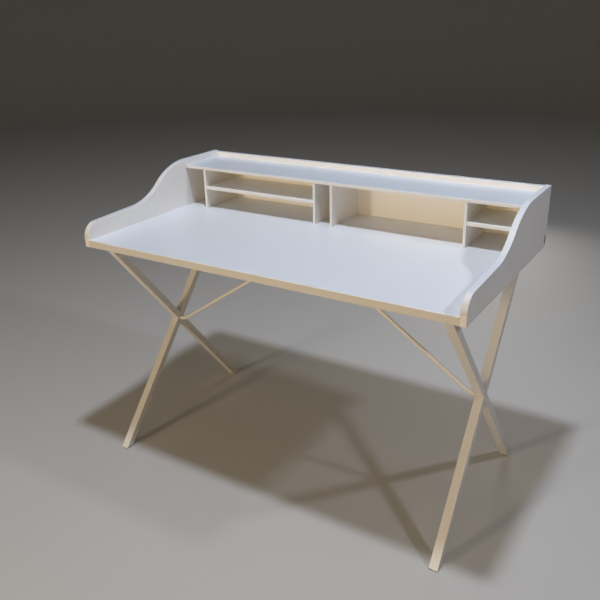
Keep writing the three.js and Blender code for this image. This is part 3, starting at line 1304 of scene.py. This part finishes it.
@dataclass(frozen=True)
class SidePanel:
    """One curved side panel: level hump, S-shaped fall, low lip and rounded nose."""

    side: Side
    corner: float = 3.0 * MM
    arris: float = 1.3 * MM
    hump_from_back: float = 177.0 * MM
    hump_radius: float = 226.0 * MM
    dip_radius: float = 196.0 * MM
    dip_below_top: float = 103.7 * MM
    nose_radius: float = 44.0 * MM
    nose_below_top: float = 154.0 * MM
    slot_wide: float = 9.0 * MM
    slot_long: float = 26.0 * MM
    slot_deep: float = 6.0 * MM
    slot_from_back: float = 9.5 * MM
    slot_below_top: float = 158.0 * MM

    def _outline(self, low: Vector, high: Vector) -> Outline:
        """Draws the panel's outline at its low X face.

        Args:
            low: Lowest corner of the panel's box.
            high: Highest corner of the panel's box.

        Returns:
            The open outline.
        """
        c = self.corner
        quarter = math.pi / 2
        hump_y = high.y - self.hump_from_back
        hump_z = high.z - self.hump_radius
        dip_z = high.z - self.dip_below_top + self.dip_radius
        nose_z = high.z - self.nose_below_top
        nose_y = low.y + self.nose_radius
        rise = dip_z - hump_z
        run = math.sqrt((self.hump_radius + self.dip_radius) ** 2 - rise**2)
        dip_y = hump_y - run
        turn = math.atan2(rise, -run) - quarter
        reach = math.hypot(dip_y - nose_y, dip_z - nose_z)
        lip = math.atan2(dip_z - nose_z, dip_y - nose_y) - math.asin(
            (self.dip_radius + self.nose_radius) / reach
        )
        nose_top = (
            nose_y - self.nose_radius * math.sin(lip),
            nose_z + self.nose_radius * math.cos(lip),
        )
        outline = Outline(low.x, low.y + c, low.z)
        outline.line(high.y - c, low.z)
        outline.arc(high.y - c, low.z + c, quarter, 6)
        outline.line(high.y, high.z - c)
        outline.arc(high.y - c, high.z - c, quarter, 6)
        outline.line(hump_y, high.z)
        outline.arc(hump_y, hump_z, turn, 30)
        outline.arc(dip_y, dip_z, -(turn - lip), 28)
        outline.line(*nose_top)
        outline.arc(nose_y, nose_z, quarter - lip, 24)
        outline.line(low.y, low.z + c)
        outline.arc(low.y + c, low.z + c, quarter, 6)
        return outline

    def _fixing_slot(self, low: Vector, high: Vector) -> bpy.types.Object:
        """The cutter for the upright slot in the outer face.

        Args:
            low: Lowest corner of the panel's box.
            high: Highest corner of the panel's box.

        Returns:
            The cutter.
        """
        outer = high.x if self.side is Side.RIGHT else low.x
        start = outer - self.slot_deep if self.side is Side.RIGHT else outer - 0.004
        half = self.slot_wide / 2.0
        straight = self.slot_long / 2.0 - half
        y = high.y - self.slot_from_back
        z = high.z - self.slot_below_top
        outline = Outline(start, y + half, z - straight)
        outline.line(y + half, z + straight)
        outline.arc(y, z + straight, math.pi, 16)
        outline.line(y - half, z - straight)
        outline.arc(y, z - straight, math.pi, 16)
        return outline.extruded(self.slot_deep + 0.004).as_object("cut_slot")

    def build(self) -> bpy.types.Object:
        """Makes the panel.

        Returns:
            The installed panel.
        """
        node = f"side_panel_{self.side.word}"
        low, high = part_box(node)
        shape = self._outline(low, high).extruded(high.x - low.x)

        def rim(edge: bmesh.types.BMEdge) -> bool:
            """Edges round the two flat faces."""
            return not runs_along(edge, X_AXIS, 0.5)

        shape.ease(rim, self.arris, 4)
        panel = shape.as_object(f"side_board_{self.side.word}")
        tools = [PEG.pocket(name) for name in FIXINGS.end_dowels(self.side)]
        carve(panel, [self._fixing_slot(low, high), *tools])
        bolt = f"back_bolt_{self.side.word}"
        carve(panel, [SCREW.pocket(bolt, X_AXIS * -self.side.value)])
        slot_y = high.y - self.slot_from_back
        slot_z = high.z - self.slot_below_top
        edge_room = 0.01 * MM
        # Edge faces take the darker painted rim shade, the slot's faces the near-black
        # painted shade, the flat faces the body lacquer.
        for face in panel.data.polygons:
            rim_face = abs(face.normal.x) < 0.6 and face.center.z > low.z + 0.030
            outer = high.x if self.side is Side.RIGHT else low.x
            in_slot = (
                abs(face.center.y - slot_y) < self.slot_wide / 2.0 + edge_room
                and abs(face.center.z - slot_z) < self.slot_long / 2.0 + edge_room
                and abs(face.center.x - outer) > 0.1 * MM
            )
            face.material_index = 2 if in_slot else int(rim_face)
        finishes = (FINISHES.body, FINISHES.rim, FINISHES.core)
        return install(panel, node, finishes)


@dataclass(frozen=True)
class Hutch:
    """Back panel, top shelf, upright dividers and tray shelves."""

    back_round: float = 1.5 * MM
    thin_round: float = 1.2 * MM
    arris: float = 0.3 * MM

    def _board(
        self,
        node: str,
        name: str,
        fronts: Callable[[bmesh.types.BMEdge], bool],
        radius: float,
    ) -> bpy.types.Object:
        """Makes one board with its seen edges rounded.

        Args:
            node: The frame's node.
            name: The piece's name.
            fronts: Test for the edges with the larger rounding.
            radius: That rounding.

        Returns:
            The board, not yet installed.
        """
        shape = Shape().block(*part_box(node))
        shape.ease(fronts, radius, 4)
        shape.ease(is_square, self.arris, 2)
        return shape.as_object(name)

    def _back(self) -> None:
        """Makes the back panel."""
        low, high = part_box("back_panel")

        def top(edge: bmesh.types.BMEdge) -> bool:
            """Long edges of the top face."""
            return runs_along(edge, X_AXIS) and edge.verts[0].co.z > high.z - TOUCH

        board = self._board("back_panel", "back_board", top, self.back_round)
        tools = [PEG.pocket(name) for name in FIXINGS.back_dowels]
        tools += [SCREW.pocket(name, -Y_AXIS) for name in FIXINGS.shelf_screws]
        for side in Side:
            tools.append(SCREW.pocket(f"back_bolt_{side.word}", X_AXIS * -side.value))
        carve(board, tools)
        # Upward faces take the painted cool shade tone, the rest the lighter painted light
        # tone.
        for face in board.data.polygons:
            face.material_index = int(face.normal.z > 0.5)
        install(board, "back_panel", (FINISHES.hutch, FINISHES.top))

    def _level(self, node: str, name: str, slot: Slot, screws: Sequence[str]) -> None:
        """Makes a level board whose front edge shows.

        Args:
            node: The frame's node.
            name: The piece's name.
            slot: The record's material slot.
            screws: Screws that enter its back edge.
        """
        low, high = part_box(node)

        def front(edge: bmesh.types.BMEdge) -> bool:
            """Long edges of the front face."""
            return runs_along(edge, X_AXIS) and edge.verts[0].co.y < low.y + TOUCH

        board = self._board(node, name, front, self.thin_round)
        if screws:
            carve(board, [SCREW.pocket(screw, -Y_AXIS) for screw in screws])
        # The top shelf's upper face takes the painted shelf shade, its front the painted
        # cool shade, the rest the lighter painted light tone.
        if slot is Slot.TOP:
            for face in board.data.polygons:
                upper = face.center.z > high.z - UPPER_SKIN
                face.material_index = 2 if upper else int(face.normal.y < -0.5)
            finishes = (FINISHES.hutch, FINISHES.top, FINISHES.shelf)
            install(board, node, finishes)
            return
        self._mark_front(board)
        install(board, node, (FINISHES.hutch, FINISHES.top))

    @staticmethod
    def _mark_front(board: bpy.types.Object) -> None:
        """Gives a board's front edge its second finish: the darker painted cool shade,
        beside the lighter painted light tone on the rest.
        """
        for face in board.data.polygons:
            face.material_index = int(face.normal.y < -0.5)

    def _upright(self, number: int) -> None:
        """Makes one divider.

        Args:
            number: Its place from the left.
        """
        node = f"divider_{number}"
        low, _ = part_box(node)

        def front(edge: bmesh.types.BMEdge) -> bool:
            """Upright edges of the front face."""
            return runs_along(edge, Z_AXIS) and edge.verts[0].co.y < low.y + TOUCH

        board = self._board(node, f"divider_board_{number}", front, self.thin_round)
        self._mark_front(board)
        install(board, node, (FINISHES.hutch, FINISHES.top))

    def build(self) -> None:
        """Makes the whole hutch."""
        self._back()
        self._level("top_shelf", "top_shelf_board", Slot.TOP, FIXINGS.shelf_screws)
        for side in Side:
            node = f"tray_shelf_{side.word}"
            self._level(node, f"tray_board_{side.word}", Slot.BODY, ())
        for number in range(1, 5):
            self._upright(number)


# Legs and rods


@dataclass(frozen=True)
class Leg:
    """One sloping leg, halved into its partner at the crossing."""

    side: Side
    foot: Foot
    wide: float = 25.6 * MM
    deep: float = 28.0 * MM
    arris: float = 1.1 * MM
    end_arris: float = 0.6 * MM
    gap: float = 0.3 * MM

    @property
    def partner(self) -> "Leg":
        """The leg that crosses this one."""
        other = Foot.FRONT if self.foot is Foot.REAR else Foot.REAR
        return Leg(self.side, other)

    @property
    def node(self) -> str:
        """The frame's node."""
        return f"leg_{self.side.word}_{self.foot.word}_foot"

    def _placing(
        self, grow: float, low_z: float, high_z: float, inner: float, outer: float
    ) -> Matrix:
        """Carries a unit cube to a stretch of this leg.

        Args:
            grow: Extra depth on both sides.
            low_z: Lower end.
            high_z: Upper end.
            inner: X offset of the face towards the middle of the desk.
            outer: X offset of the face away from it.

        Returns:
            The sheared placing.
        """
        low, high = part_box(self.node)
        half_deep, half_wide = self.deep / 2.0, self.wide / 2.0
        tall = high.z - low.z
        if self.foot is Foot.REAR:
            foot_y, top_y = high.y - half_deep, low.y + half_deep
        else:
            foot_y, top_y = low.y + half_deep, high.y - half_deep
        if self.side is Side.RIGHT:
            foot_x, top_x = high.x - half_wide, low.x + half_wide
        else:
            foot_x, top_x = low.x + half_wide, high.x - half_wide
        lean_x, lean_y = (top_x - foot_x) / tall, (top_y - foot_y) / tall
        stretch = high_z - low_z
        middle_z = (low_z + high_z) / 2.0
        rise = middle_z - low.z
        shift = self.side.value * (inner + outer) / 2.0
        return Matrix(
            (
                (outer - inner, 0.0, lean_x * stretch, foot_x + lean_x * rise + shift),
                (0.0, self.deep + 2.0 * grow, lean_y * stretch, foot_y + lean_y * rise),
                (0.0, 0.0, stretch, middle_z),
                (0.0, 0.0, 0.0, 1.0),
            )
        )

    def crossing_z(self) -> float:
        """Finds where this leg meets its partner.

        Returns:
            The height.
        """
        low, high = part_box(self.node)
        foot = (high.y - low.y) - self.deep
        other_low, other_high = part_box(self.partner.node)
        mine = high.y - self.deep / 2.0
        theirs = other_low.y + self.deep / 2.0
        if self.foot is Foot.FRONT:
            mine, theirs = low.y + self.deep / 2.0, other_high.y - self.deep / 2.0
        return low.z + (high.z - low.z) * abs(mine - theirs) / (2.0 * foot)

    def notch(self) -> bpy.types.Object:
        """Makes the cutter that halves this leg into its partner.

        Returns:
            The cutter.
        """
        half = self.wide / 2.0 + 6.0 * MM
        middle = self.crossing_z()
        reach = 60.0 * MM
        if self.foot is Foot.REAR:
            spans = (-self.gap / 2.0, half)
        else:
            spans = (-half, self.gap / 2.0)
        matrix = self._placing(self.gap, middle - reach, middle + reach, *spans)
        return Shape().cube(matrix).tidy().as_object(f"cut_{self.node}")

    def build(self) -> bpy.types.Object:
        """Makes the leg.

        Returns:
            The installed leg.
        """
        low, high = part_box(self.node)
        half = self.wide / 2.0
        matrix = self._placing(0.0, low.z, high.z, -half, half)
        along = (matrix.col[2].to_3d()).normalized()
        shape = Shape().cube(matrix).tidy()
        shape.ease(lambda edge: runs_along(edge, along), self.arris, 4)

        def ends(edge: bmesh.types.BMEdge) -> bool:
            """Edges round the foot and the top."""
            level = abs(edge.verts[0].co.z - edge.verts[1].co.z) < TOUCH
            return level and edge.calc_face_angle() > 0.5

        shape.ease(ends, self.end_arris, 2)
        leg = shape.as_object(f"leg_bar_{self.side.word}_{self.foot.word}_foot")
        dowel = PEG.pocket(f"leg_dowel_{self.side.word}_{self.partner.foot.word}")
        carve(leg, [self.partner.notch(), dowel, BraceRod(self.side).hole()])
        finish = FINISHES.leg_rear if self.foot is Foot.REAR else FINISHES.leg_front
        return install(leg, self.node, (finish,))


@dataclass(frozen=True)
class Batten:
    """The batten between two leg tops."""

    side: Side
    arris: float = 0.8 * MM
    slope: float = 0.8162

    def build(self) -> bpy.types.Object:
        """Makes the batten with ends cut to the legs.

        Returns:
            The installed batten.
        """
        node = f"leg_rail_{self.side.word}"
        low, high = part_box(node)
        shape = Shape().block(low, high)
        cut = (high.z - low.z) * self.slope
        under = [vert for vert in shape.bm.verts if vert.co.z < low.z + TOUCH]
        for sign, end in ((1.0, low.y), (-1.0, high.y)):
            chosen = [vert for vert in under if abs(vert.co.y - end) < TOUCH]
            bmesh.ops.translate(shape.bm, verts=chosen, vec=(0.0, sign * cut, 0.0))
        shape.ease(lambda edge: edge.calc_face_angle() > 0.3, self.arris, 3)
        bar = shape.as_object(f"leg_batten_{self.side.word}")
        names = FIXINGS.rail_screws(self.side)
        carve(bar, [SCREW.pocket(name, Z_AXIS) for name in names])
        return install(bar, node, (FINISHES.batten,))


@dataclass(frozen=True)
class BraceRod:
    """A bent rod from a leg crossing up to the middle of the worktop, with its flat tab."""

    side: Side
    radius: float = 6.0 * MM
    start_x: float = 559.0 * MM
    bend_x: float = 522.0 * MM
    bend_reach: float = 16.0 * MM
    slope: float = 0.67
    tab_thick: float = 4.0 * MM
    tab_long: float = 60.0 * MM
    tab_corner: float = 6.0 * MM
    bead: float = 1.6 * MM
    gap: float = 0.3 * MM

    def _level(self) -> tuple[float, float]:
        """Middle Y of the rod and the height of its level end."""
        low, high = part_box(f"brace_{self.side.word}")
        return (low.y + high.y) / 2.0, low.z + self.radius

    def hole(self) -> bpy.types.Object:
        """Makes the cutter for the rod's level end.

        Returns:
            The cutter.
        """
        y, z = self._level()
        side = self.side.value
        length = 40.0 * MM
        middle = side * (self.start_x + self.gap - length / 2.0)
        turn = X_AXIS.to_track_quat("Z", "Y").to_matrix().to_4x4()
        matrix = Matrix.Translation((middle, y, z)) @ turn
        radius = self.radius + self.gap
        half = length / 2.0
        profile = ((0.0, -half), (radius, -half), (radius, half), (0.0, half))
        return Shape().lathe(profile, matrix, 40).tidy().as_object("cut_rod")

    def build(self) -> bpy.types.Object:
        """Makes the rod with its tab and weld bead.

        Returns:
            The installed rod.
        """
        node = f"brace_{self.side.word}"
        low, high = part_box(node)
        side = float(self.side.value)
        y, z = self._level()
        angle = math.atan(self.slope)
        bend_radius = self.bend_reach / math.tan(angle / 2.0)
        bend_start = self.bend_x + self.bend_reach
        inward = Vector((-side, 0.0, 0.0))
        upward = Vector((-side * math.cos(angle), 0.0, math.sin(angle)))
        top_z = high.z - self.tab_thick - 1.0 * MM
        out_x = self.bend_x - self.bend_reach * math.cos(angle)
        out_z = z + self.bend_reach * math.sin(angle)
        straight = (top_z - out_z) / math.sin(angle)
        start = Vector((side * self.start_x, y, z))
        bend_from = Vector((side * bend_start, y, z))
        stations = (
            Station(start, inward, self.start_x - bend_start),
            Station(
                bend_from,
                inward,
                centre=bend_from + Vector((0.0, 0.0, bend_radius)),
                axis=Vector((0.0, side, 0.0)),
                angle=angle,
                steps=18,
            ),
            Station(Vector((side * out_x, y, out_z)), upward, straight),
        )
        shape = Shape().sweep(self.radius, stations, 32).tidy()
        shape.ease(lambda edge: edge.calc_face_angle(0.0) > 1.2, 0.8 * MM, 3)
        rod = shape.as_object(f"brace_rod_{self.side.word}")
        end_x = out_x - straight * math.cos(angle)
        self._add_tab(rod, low, high)
        self._add_bead(rod, Vector((side * end_x, y, high.z - self.tab_thick)), angle)
        names = FIXINGS.tab_screws(self.side)
        carve(rod, [SCREW.pocket(name, Z_AXIS) for name in names])
        return install(rod, node, (FINISHES.rod,))

    def _add_tab(self, rod: bpy.types.Object, low: Vector, high: Vector) -> None:
        """Joins the flat tab to the rod.

        Args:
            rod: The bare rod.
            low: Lowest corner of the node's box.
            high: Highest corner of the node's box.
        """
        near = low.x if self.side is Side.RIGHT else high.x - self.tab_long
        corner = Vector((near, low.y, high.z - self.tab_thick))
        far = Vector((near + self.tab_long, high.y, high.z))
        shape = Shape().block(corner, far)
        shape.ease(lambda edge: runs_along(edge, Z_AXIS), self.tab_corner, 8)
        shape.ease(lambda edge: edge.calc_face_angle() > 1.0, 0.6 * MM, 2)
        self._join(rod, shape.as_object("tab"))

    def _add_bead(self, rod: bpy.types.Object, foot: Vector, angle: float) -> None:
        """Joins a weld bead round the rod where it meets the tab.

        Args:
            rod: The rod with its tab.
            foot: Where the rod's centre line meets the tab's underside.
            angle: The rod's rise above the level.
        """
        ring = self.radius + 0.3 * MM
        bm_shape = Shape()
        turn = Matrix.Translation((ring, 0.0, 0.0)) @ Matrix.Rotation(math.pi / 2, 4, "X")
        made = bmesh.ops.create_circle(
            bm_shape.bm, cap_ends=False, segments=12, radius=self.bead, matrix=turn
        )
        bmesh.ops.spin(
            bm_shape.bm,
            geom=made["verts"] + list({e for v in made["verts"] for e in v.link_edges}),
            cent=(0.0, 0.0, 0.0),
            axis=(0.0, 0.0, 1.0),
            dvec=(0.0, 0.0, 0.0),
            angle=2.0 * math.pi,
            steps=40,
            use_merge=True,
            use_duplicate=False,
        )
        long = 1.0 / math.sin(angle)
        shift = self.side.value * self.radius * 0.9
        matrix = Matrix.Translation(foot + Vector((shift, 0.0, -0.3 * MM)))
        stretch = Matrix.Diagonal((long * 0.82, 1.0, 1.0, 1.0))
        bmesh.ops.transform(bm_shape.bm, verts=bm_shape.bm.verts, matrix=matrix @ stretch)
        self._join(rod, bm_shape.tidy().as_object("bead"))

    @staticmethod
    def _join(rod: bpy.types.Object, part: bpy.types.Object) -> None:
        """Fuses a part into the rod.

        Args:
            rod: The growing body.
            part: The part to add, removed afterwards.
        """
        step = rod.modifiers.new("join", "BOOLEAN")
        step.operation = "UNION"
        step.solver = "EXACT"
        step.object = part
        graph = bpy.context.evaluated_depsgraph_get()
        fused = bpy.data.meshes.new_from_object(rod.evaluated_get(graph))
        old, spare = rod.data, part.data
        rod.modifiers.clear()
        rod.data = fused
        fused.name = rod.name
        bpy.data.objects.remove(part)
        bpy.data.meshes.remove(old)
        bpy.data.meshes.remove(spare)


@dataclass(frozen=True)
class Glide:
    """The thin pad under one foot."""

    side: Side
    foot: Foot

    def build(self) -> bpy.types.Object:
        """Makes the pad.

        Returns:
            The installed pad.
        """
        node = f"glide_{self.side.word}_{self.foot.word}"
        low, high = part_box(node)
        radius = (high.x - low.x) / 2.0
        tall = high.z - low.z
        centre = Vector(((low.x + high.x) / 2.0, (low.y + high.y) / 2.0, low.z))
        profile = (
            (0.0, 0.0),
            (radius - 1.2 * MM, 0.0),
            (radius - 0.5 * MM, 0.25 * MM),
            (radius - 0.1 * MM, 0.8 * MM),
            (radius, 1.3 * MM),
            (radius, tall - 0.3 * MM),
            (radius - 0.3 * MM, tall),
            (0.0, tall),
        )
        shape = Shape().lathe(profile, Matrix.Translation(centre), 40).tidy()
        pad = shape.as_object(f"glide_pad_{self.side.word}_{self.foot.word}")
        return install(pad, node, (FINISHES.plastic,))


@dataclass(frozen=True)
class LegFrame:
    """Everything below the worktop on one side."""

    side: Side

    def build(self) -> None:
        """Makes the legs, batten, rod and glides."""
        for foot in Foot:
            Leg(self.side, foot).build()
            Glide(self.side, foot).build()
        Batten(self.side).build()
        BraceRod(self.side).build()


# Studio


@dataclass(frozen=True)
class Lamp:
    """A soft rectangular light aimed at a point."""

    name: str
    place: Colour
    target: Colour
    size: tuple[float, float]
    power: float
    colour: Colour
    spread: float = 180.0

    def build(self) -> None:
        """Makes the light."""
        data = bpy.data.lights.new(self.name, "AREA")
        data.shape = "RECTANGLE"
        data.size, data.size_y = self.size
        data.energy = self.power
        data.color = self.colour
        data.spread = math.radians(self.spread)
        light = bpy.data.objects.new(self.name, data)
        light.location = self.place
        aim = Vector(self.target) - Vector(self.place)
        light.rotation_euler = aim.to_track_quat("-Z", "Y").to_euler()
        light.visible_camera = False
        bpy.context.scene.collection.objects.link(light)


@dataclass(frozen=True)
class Studio:
    """Floor, lights and camera."""

    floor_radius: float = 8.0
    floor_segments: int = 96
    cove_radius: float = 4.0
    cove_steps: int = 14
    wall_height: float = 13.0
    sky: Colour = (1.0, 0.96, 0.92)
    sky_strength: float = 0.03
    eye: Colour = (1.07453, -1.73986, 1.39535)
    yaw: float = 32.667
    pitch: float = -22.585
    roll: float = -1.391
    lens: float = 43.124
    wash_height: float = 4.2
    wash_reach: float = 1.6
    wash_power: float = 12.0
    wash_size: tuple[float, float] = (1.4, 0.5)
    wash_colour: Colour = (1.0, 0.98, 0.95)
    lamps: tuple[Lamp, ...] = (
        Lamp(
            "key_overhead",
            (0.247, -0.49, 3.67),
            (0.0, 0.0, 0.6),
            (0.22, 0.22),
            62.0,
            (0.743, 0.84, 1.0),
        ),
        Lamp(
            "fill_left_warm",
            (-1.25, -4.0, 1.55),
            (0.0, 0.0, 0.6),
            (0.5, 0.5),
            45.0,
            (1.0, 0.83, 0.60),
        ),
        Lamp(
            "fill_right_warm",
            (0.9, -4.2, 1.5),
            (0.0, 0.0, 0.6),
            (1.8, 1.2),
            33.0,
            (1.0, 0.65, 0.25),
        ),
        Lamp(
            "side_cool",
            (2.075, 0.204, 2.4),
            (0.0, 0.0, 0.7),
            (0.16, 0.16),
            14.0,
            (0.84, 0.88, 1.0),
        ),
        Lamp(
            "back_soft",
            (-0.5, 3.4, 0.7),
            (0.0, 0.3, 0.72),
            (1.0, 0.4),
            7.0,
            (1.0, 0.96, 0.90),
            spread=110.0,
        ),
    )

    def _wash(self) -> None:
        """Adds faint lights that wash the rising sweep on four sides."""
        far = self.floor_radius
        for quarter in range(4):
            angle = quarter * math.pi / 2
            x, y = math.cos(angle), math.sin(angle)
            Lamp(
                f"sweep_wash_{quarter + 1}",
                (x * self.wash_reach, y * self.wash_reach, self.wash_height),
                (x * far, y * far, 1.0),
                self.wash_size,
                self.wash_power,
                self.wash_colour,
            ).build()

    def _sweep(self) -> None:
        """Lays the round floor, turned up all round into a wall."""
        shape = Shape()
        bmesh.ops.create_circle(
            shape.bm,
            cap_ends=True,
            segments=self.floor_segments,
            radius=self.floor_radius,
        )
        rim = [edge for edge in shape.bm.edges if edge.is_boundary]
        for step in range(1, self.cove_steps + 1):
            angle = math.pi / 2 * step / self.cove_steps
            reach = self.floor_radius + self.cove_radius * math.sin(angle)
            height = self.cove_radius * (1.0 - math.cos(angle))
            rim = self._raise(shape.bm, rim, reach, height)
        self._raise(shape.bm, rim, reach, self.wall_height)
        bmesh.ops.recalc_face_normals(shape.bm, faces=shape.bm.faces)
        sweep = shape.as_object("studio_sweep")
        sweep.data.materials.append(FINISHES.floor.material())
        polygons = sweep.data.polygons
        polygons.foreach_set("use_smooth", [True] * len(polygons))

    @staticmethod
    def _raise(
        bm: bmesh.types.BMesh,
        rim: list[bmesh.types.BMEdge],
        reach: float,
        height: float,
    ) -> list[bmesh.types.BMEdge]:
        """Extends the sweep by one ring.

        Args:
            bm: The sweep's bmesh.
            rim: Its outer edges so far.
            reach: The new ring's radius.
            height: The new ring's height.

        Returns:
            The new outer edges.
        """
        made = bmesh.ops.extrude_edge_only(bm, edges=rim)["geom"]
        verts = [g for g in made if isinstance(g, bmesh.types.BMVert)]
        old = math.hypot(verts[0].co.x, verts[0].co.y)
        factor = reach / old
        bmesh.ops.scale(bm, verts=verts, vec=(factor, factor, 1.0))
        lift = height - verts[0].co.z
        bmesh.ops.translate(bm, verts=verts, vec=(0.0, 0.0, lift))
        return [
            g for g in made if isinstance(g, bmesh.types.BMEdge) and g.is_boundary
        ]

    def _sky(self) -> None:
        """Sets the even light from all round."""
        world = bpy.data.worlds.new("studio")
        world.use_nodes = True
        background = world.node_tree.nodes["Background"]
        background.inputs["Color"].default_value = (*self.sky, 1.0)
        background.inputs["Strength"].default_value = self.sky_strength
        bpy.context.scene.world = world

    def _camera(self) -> None:
        """Sets the camera."""
        yaw, pitch, roll = (math.radians(a) for a in (self.yaw, self.pitch, self.roll))
        ahead = Vector(
            (
                -math.sin(yaw) * math.cos(pitch),
                math.cos(yaw) * math.cos(pitch),
                math.sin(pitch),
            )
        )
        right = Vector((math.cos(yaw), math.sin(yaw), 0.0))
        above = right.cross(ahead)
        tilted_right = right * math.cos(roll) + above * math.sin(roll)
        tilted_above = above * math.cos(roll) - right * math.sin(roll)
        turn = Matrix((tilted_right, tilted_above, -ahead)).transposed().to_4x4()
        data = bpy.data.cameras.new("camera")
        data.sensor_width = 36.0
        data.lens = self.lens
        data.clip_start, data.clip_end = 0.05, 200.0
        camera = bpy.data.objects.new("camera", data)
        camera.matrix_world = Matrix.Translation(self.eye) @ turn
        bpy.context.scene.collection.objects.link(camera)
        bpy.context.scene.camera = camera

    def build(self) -> None:
        """Makes the studio."""
        self._sweep()
        self._sky()
        for lamp in self.lamps:
            lamp.build()
        self._wash()
        self._camera()
        bpy.context.scene.view_settings.view_transform = "Standard"


def main() -> None:
    """Builds the desk and the studio."""
    logging.basicConfig(level=logging.INFO, format="%(name)s %(message)s")
    Studio().build()
    Worktop().build()
    for side in Side:
        SidePanel(side).build()
    Hutch().build()
    for side in Side:
        LegFrame(side).build()
    FIXINGS.build()


if __name__ == "__main__":
    main()
